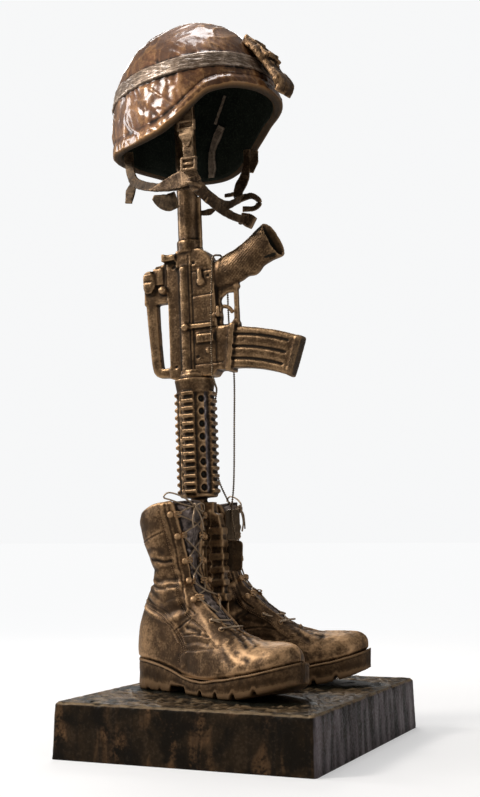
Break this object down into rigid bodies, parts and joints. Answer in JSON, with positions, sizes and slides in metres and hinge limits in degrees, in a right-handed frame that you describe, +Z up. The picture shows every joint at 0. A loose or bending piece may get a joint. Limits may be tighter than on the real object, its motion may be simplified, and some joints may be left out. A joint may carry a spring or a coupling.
{
  "type": "battlefield cross memorial",
  "caption": "Cast bronze battlefield cross: a rifle stands muzzle down between laced boots on a rough plinth, with a covered helmet on its stock and tags on a bead chain.",
  "frame": {"origin": "middle of the plinth's underside", "axes": "+X the way the toes and the magazine point, +Y to the wearer's left (the farther boot), +Z up"},
  "size_m": [0.4357, 0.482, 1.1361],
  "materials": {
    "plinth_bronze": "dark patina with tan blotches",
    "boot_bronze": "waxed brown patina, paler at the toes",
    "rifle_bronze": "brown patina with olive highlights",
    "helmet_bronze": "glossy waxed red-brown patina",
    "strap_bronze": "brown patina",
    "chain_bronze": "rubbed bright",
    "tag_bronze": "rubbed bright"
  },
  "bodies": {
    "root": {"plinth": "plinth_bronze", "right_boot": "boot_bronze", "left_boot": "boot_bronze", "rifle": "rifle_bronze", "helmet": "helmet_bronze", "chin_strap": "strap_bronze", "tag_chain": "chain_bronze", "dog_tag_front": "tag_bronze", "dog_tag_back": "tag_bronze"}
  },
  "joints": []
}
